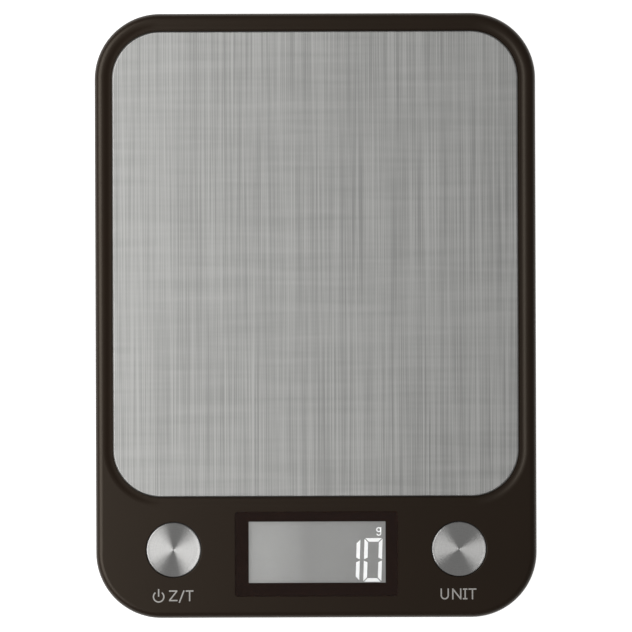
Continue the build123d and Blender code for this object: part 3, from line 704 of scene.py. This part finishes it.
cavity_rear = plate_low.y - plate_gap - cover_wall
cavity = bmesh.new()        # the hollow under the console, for the board and the display
rounded_face(cavity, body_width - 2 * cover_wall, body_length - 2 * cover_wall, corner_radius - cover_wall,
             0, 0, deck - deck_wall - above)
bmesh.ops.bisect_plane(cavity, geom=cavity.verts[:] + cavity.edges[:] + cavity.faces[:],
                       plane_co=(0, cavity_rear, 0), plane_no=(0, 1, 0), clear_outer=True)
cavity.faces.ensure_lookup_table()
step(cavity, cavity.faces[0], 0, cavity_top - deck + deck_wall + above)
bmesh.ops.recalc_face_normals(cavity, faces=cavity.faces)
cutters += [seat, view_hole, cavity]
even_shading(fitted("cover_shell", cut_out(shell, cutters), "casing", "black_abs", [casing_abs],
                    "top_cover", sharp=28))


# ---- Legends ----
# Pale grey ink pad-printed on the console under each key: a power sign with a pair of initials on
# the left, and one word on the right.
def legend_ink():
    """Thin matt ink, slightly uneven where the pad lifted."""
    material, tree, shader, place = new_finish("legend_ink")
    thin = grain(tree, place, 2200, detail=3.0)
    tinted(tree, thin, (0.47, 0.45, 0.42), (0.62, 0.6, 0.57), shader.inputs["Base Color"])
    between(tree, thin, 0.5, 0.65, shader.inputs["Roughness"])
    return material


ink = legend_ink()
ink_sheet = 0.02 * mm
stroke = 0.55 * mm


def strokes(form, *pairs):
    """Draws straight strokes of a sign, each given by its two ends in millimetres."""
    for start, end in pairs:
        flat_bar(form, (start[0] * mm, start[1] * mm, 0), (end[0] * mm, end[1] * mm, 0), stroke)


def printed(form, size, x, baseline):
    """Lays a sign on the console at a share of its drawn size, as a sheet of ink."""
    bmesh.ops.scale(form, verts=form.verts, vec=(size, size, 1))
    thickened(form, x, cover_low.y + baseline, crown, ink_sheet)
    return form


left_sign = bmesh.new()
flat_arc(left_sign, (-6.4 * mm, 1.85 * mm), 2.15 * mm, stroke, 128, 412)
strokes(left_sign, ((-6.4, 1.9), (-6.4, 5.05)))
strokes(left_sign, ((-2.1, 4.2), (1.35, 4.2)), ((-2.1, 0.28), (1.4, 0.28)), ((-1.85, 0.4), (1.1, 4.1)))
strokes(left_sign, ((2.1, -0.65), (4.1, 4.45)))
strokes(left_sign, ((4.8, 4.2), (8.0, 4.2)), ((6.4, 4.3), (6.4, 0)))
left_sign = printed(left_sign, 0.96, middle("button_cap_zero")[0] + 0.1 * mm, 6.85 * mm)
fitted("legend_zero", left_sign, "casing", "black_abs", [ink])
right_sign = bmesh.new()
flat_arc(right_sign, (-5.72 * mm, 1.71 * mm), 1.43 * mm, stroke, 180, 360)
strokes(right_sign, ((-7.15, 4.5), (-7.15, 1.7)), ((-4.29, 4.5), (-4.29, 1.7)))
strokes(right_sign, ((-2.4, 0), (-2.4, 4.5)), ((0.85, 0), (0.85, 4.5)), ((-2.4, 4.3), (0.85, 0.2)))
strokes(right_sign, ((1.75, 4.22), (3.6, 4.22)), ((1.75, 0.28), (3.6, 0.28)), ((2.68, 0.2), (2.68, 4.3)))
strokes(right_sign, ((4.05, 4.22), (7.3, 4.22)), ((5.68, 4.3), (5.68, 0)))
right_sign = printed(right_sign, 0.965, middle("button_cap_unit")[0] - 0.25 * mm, 7.2 * mm)
fitted("legend_unit", right_sign, "casing", "black_abs", [ink])


# ---- Weighing plate ----
# Stainless steel sheet, drawn into a very shallow pan with its edge turned down all round, then
# brushed from front to back. Black foam tape bonds it to the deck.
def brushed_steel():
    """Long fine scratches along Y, with faint chatter marks across them from the brushing belt."""
    material, tree, shader, place = new_finish("brushed_steel")
    shader.inputs["Metallic"].default_value = 1.0
    fine = grain(tree, place, 3200, (1, 0.004, 1), detail=3.0)
    broad = grain(tree, place, 420, (1, 0.01, 1), detail=2.0)
    chatter = grain(tree, place, 380, (0.06, 1, 0.06), detail=1.0)
    both = tree.nodes.new("ShaderNodeMix")
    both.inputs["Factor"].default_value = 0.2
    tree.links.new(fine, both.inputs["A"])
    tree.links.new(broad, both.inputs["B"])
    wave = tree.nodes.new("ShaderNodeMix")
    wave.inputs["Factor"].default_value = 0.12
    tree.links.new(both.outputs["Result"], wave.inputs["A"])
    tree.links.new(chatter, wave.inputs["B"])
    tinted(tree, wave.outputs["Result"], (0.37, 0.37, 0.36), (0.55, 0.55, 0.535),
           shader.inputs["Base Color"], 0.4, 0.6)
    between(tree, wave.outputs["Result"], 0.33, 0.43, shader.inputs["Roughness"])
    raised(tree, shader, both.outputs["Result"], 0.003 * mm)
    shader.inputs["Anisotropic"].default_value = 0.95
    across = tree.nodes.new("ShaderNodeTangent")
    across.direction_type = "UV_MAP"
    across.uv_map = "sheet"
    tree.links.new(across.outputs["Tangent"], shader.inputs["Tangent"])
    return material


def sheet_map(form):
    """Lays a flat map over a form, seen from above: its first axis runs across the brushing."""
    layer = form.loops.layers.uv.new("sheet")
    for face in form.faces:
        for loop in face.loops:
            loop[layer].uv = loop.vert.co.xy


plate_round = 0.8 * mm
plate_sheet = 0.5 * mm
pan = bmesh.new()
under = rounded_face(pan, plate_width, plate_length, plate_corner, 0, plate_y, plate_low.z, steps=36)
top = step(pan, under, 0, plate_high.z - plate_round - plate_low.z)
for inward, rise in rounding(plate_round, 0, 90, 7):
    top = step(pan, top, inward, rise)
bmesh.ops.reverse_faces(pan, faces=[under])
under = step(pan, under, plate_sheet, 0)
under = step(pan, under, 0, plate_high.z - plate_sheet - plate_low.z)
bmesh.ops.recalc_face_normals(pan, faces=pan.faces)
sheet_map(pan)
even_shading(fitted("steel_plate", pan, "casing", "brushed_steel", [brushed_steel()], "platform_plate"))


def foam_tape():
    """Black closed-cell foam with fine pores."""
    material, tree, shader, place = new_finish("foam_tape")
    pores = grain(tree, place, 2500, detail=1.0)
    tinted(tree, pores, (0.01, 0.01, 0.01), (0.03, 0.03, 0.03), shader.inputs["Base Color"])
    between(tree, pores, 0.75, 0.9, shader.inputs["Roughness"])
    raised(tree, shader, pores, 0.03 * mm)
    return material


dressed(foam_tape(), "platform_tape", "lens_tape")


# ---- Display window ----
# Clear acrylic, die-cut and polished, with a black border screen-printed on its underside round
# the opening that the display shows through.
def clear_acrylic():
    """Polished clear plastic with very faint rub marks."""
    material, tree, shader, place = new_finish("clear_acrylic")
    shader.inputs["Base Color"].default_value = (0.98, 0.98, 0.98, 1)
    shader.inputs["Transmission Weight"].default_value = 1.0
    shader.inputs["IOR"].default_value = 1.4
    between(tree, grain(tree, place, 250, detail=4.0), 0.0, 0.03, shader.inputs["Roughness"], 0.45, 0.8)
    return material


border_ink = moulded_abs("border_ink", (0.0105, 0.0026, 0.0005), (0.0122, 0.0034, 0.0008), 0.5, 0.6, 400)
border_ink.node_tree.nodes["Principled BSDF"].inputs["Specular IOR Level"].default_value = 0.05
lens_break = 0.06 * mm
ink_relief = 0.03 * mm      # keeps the printed side clear of the tape
window_width, window_length = 54.3 * mm, 24.3 * mm
window_shift = Vector((0.28 * mm, 0.67 * mm))
window = bmesh.new()
under = rounded_face(window, lens_size.x, lens_size.y, lens_corner, lens_x, lens_y,
                     lens_low.z + ink_relief, steps=8)
top = step(window, under, 0, lens_size.z - lens_break - ink_relief)
top = step(window, top, lens_break, lens_break)
bmesh.ops.reverse_faces(window, faces=[under])
outer_faces = set(window.faces)
opening = step(window, under, (lens_size.y - window_length) / 2, 0)
ring = [face for face in window.faces if face not in outer_faces]
for vert in opening.verts:
    vert.co.x = lens_x + window_shift.x + math.copysign(window_width / 2, vert.co.x - lens_x)
    vert.co.y = lens_y + window_shift.y + math.copysign(window_length / 2, vert.co.y - lens_y)
bmesh.ops.remove_doubles(window, verts=list(opening.verts), dist=1e-7)
for face in ring:
    if face.is_valid:
        face.material_index = 1
bmesh.ops.recalc_face_normals(window, faces=window.faces)
fitted("display_window", window, "casing", "window", [clear_acrylic(), border_ink], "display_lens")


# ---- Keys ----
# Each key is a spun aluminium cap with a bright turned edge, bonded to a black carrier that bears on
# its tact switch.
def spun_aluminium(key, x, y):
    """Fine rings left by the tool, centred on the cap."""
    material, tree, shader, place = new_finish(f"spun_aluminium_{key}")
    shader.inputs["Metallic"].default_value = 1.0
    centred = tree.nodes.new("ShaderNodeMapping")
    centred.inputs["Location"].default_value = (-x, -y, 0)
    centred.inputs["Scale"].default_value = (1, 1, 0)
    tree.links.new(place, centred.inputs["Vector"])
    out = tree.nodes.new("ShaderNodeVectorMath")
    out.operation = "LENGTH"
    tree.links.new(centred.outputs["Vector"], out.inputs[0])
    rings = tree.nodes.new("ShaderNodeTexNoise")
    rings.noise_dimensions = "1D"
    rings.inputs["Scale"].default_value = 3200
    rings.inputs["Detail"].default_value = 3.0
    tree.links.new(out.outputs["Value"], rings.inputs["W"])
    laid = tree.nodes.new("ShaderNodeUVMap")
    laid.uv_map = "turning"
    rays = grain(tree, laid.outputs["UV"], 1.0, (0.5, 26, 1))
    ringed = tree.nodes.new("ShaderNodeMix")
    ringed.inputs["Factor"].default_value = 0.5
    tree.links.new(rings.outputs["Fac"], ringed.inputs["A"])
    tree.links.new(rays, ringed.inputs["B"])
    tinted(tree, ringed.outputs["Result"], (0.61, 0.605, 0.595), (0.77, 0.765, 0.75),
           shader.inputs["Base Color"])
    between(tree, ringed.outputs["Result"], 0.32, 0.38, shader.inputs["Roughness"])
    raised(tree, shader, rings.outputs["Fac"], 0.0015 * mm)
    shader.inputs["Anisotropic"].default_value = 1.0
    round_it = tree.nodes.new("ShaderNodeTangent")
    round_it.direction_type = "UV_MAP"
    round_it.uv_map = "turning"
    tree.links.new(round_it.outputs["Tangent"], shader.inputs["Tangent"])
    return material


def turning_map(form, x, y):
    """Maps a turned form: its first axis runs outwards across the rings, its second round them."""
    layer = form.loops.layers.uv.new("turning")
    for face in form.faces:
        centre = face.calc_center_median()
        facing = math.atan2(centre.y - y, centre.x - x)
        for loop in face.loops:
            from_centre = loop.vert.co - Vector((x, y, loop.vert.co.z))
            out = from_centre.length
            turn = facing if out < 1e-6 else math.atan2(from_centre.y, from_centre.x)
            turn = facing + math.remainder(turn - facing, 2 * math.pi)
            loop[layer].uv = (out / mm, turn)


inner_abs = moulded_abs("inner_abs", (0.018, 0.017, 0.016), (0.024, 0.022, 0.021), 0.5, 0.62)
cap_edge = 0.3 * mm
face_border = 0.25 * mm
face_drop = 0.04 * mm
face_dish = 0.08 * mm
dish_steps = 10
dimple = 0.35 * mm
dimple_depth = 0.08 * mm
for key in ("zero", "unit"):
    low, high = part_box(f"button_cap_{key}")
    x, y = middle(f"button_cap_{key}")
    radius = (high.x - low.x) / 2
    face_radius = radius - cap_edge - face_border
    rim = high.z - face_drop
    profile = [(0, low.z), (radius, low.z), *arc(radius - cap_edge, high.z - cap_edge, cap_edge, 0, 90, 5),
               (face_radius, rim)]
    for i in range(1, dish_steps):
        share = 1 - i / dish_steps
        profile.append((face_radius * share, rim - face_dish * (1 - share * share)))
    profile += [(dimple, rim - face_dish), (0, rim - face_dish - dimple_depth)]
    cap = turned(profile, x, y, steps=128)
    turning_map(cap, x, y)
    fitted(f"key_cap_{key}", cap, f"key_{key}", "spun_aluminium", [spun_aluminium(key, x, y)],
           f"button_cap_{key}", sharp=40)
    dressed(inner_abs, f"button_plunger_{key}")


# ---- Casing screws ----
# Zinc-plated pan-head screws with cross recesses, driven up through the bottom cover into bosses
# under the top cover.
dressed(zinc, "case_screws")


# ---- Studio ----
# A pale floor under the scale, one large soft light on its left and a dim even sky. The camera looks
# straight down.
floor_mesh = bmesh.new()
bmesh.ops.create_grid(floor_mesh, x_segments=1, y_segments=1, size=3.0)
floor_data = bpy.data.meshes.new("studio_floor")
floor_mesh.to_mesh(floor_data)
floor_mesh.free()
floor = bpy.data.objects.new("studio_floor", floor_data)
bpy.context.scene.collection.objects.link(floor)
paper, tree, shader, place = new_finish("studio_paper")
tinted(tree, grain(tree, place, 3), (0.86, 0.86, 0.86), (0.88, 0.88, 0.88), shader.inputs["Base Color"])
shader.inputs["Roughness"].default_value = 0.9
shader.inputs["Specular IOR Level"].default_value = 0.1
shader.inputs["Emission Color"].default_value = (1, 1, 1, 1)
shader.inputs["Emission Strength"].default_value = 0.68
floor_data.materials.append(paper)


def soft_light(name, place, aim, width, length, power):
    """A softbox: a rectangular light turned towards a point."""
    lamp = bpy.data.lights.new(name, "AREA")
    lamp.shape = "RECTANGLE"
    lamp.size = width
    lamp.size_y = length
    lamp.energy = power
    lamp.use_shadow = False
    holder = bpy.data.objects.new(name, lamp)
    holder.location = place
    holder.rotation_euler = (Vector(aim) - Vector(place)).to_track_quat("-Z", "Y").to_euler()
    holder.visible_camera = False
    bpy.context.scene.collection.objects.link(holder)


soft_light("left_softbox", (-0.534, 0.025, 0.6), (-0.534, 0.025, 0), 0.6, 0.87, 5.1)
world = bpy.data.worlds.new("studio_sky")
world.use_nodes = True
world.node_tree.nodes["Background"].inputs["Color"].default_value = (1, 1, 1, 1)
world.node_tree.nodes["Background"].inputs["Strength"].default_value = 0.22
bpy.context.scene.world = world
bpy.context.scene.view_settings.view_transform = "Standard"

view_width = 250.65 * mm
camera_height = 1.6
lens_data = bpy.data.cameras.new("camera")
lens_data.lens = lens_data.sensor_width * (camera_height - crown) / view_width
camera = bpy.data.objects.new("camera", lens_data)
camera.location = (0.14 * mm, -0.22 * mm, camera_height)
camera.rotation_euler = (0, 0, math.radians(-0.19))
bpy.context.scene.collection.objects.link(camera)
bpy.context.scene.camera = camera
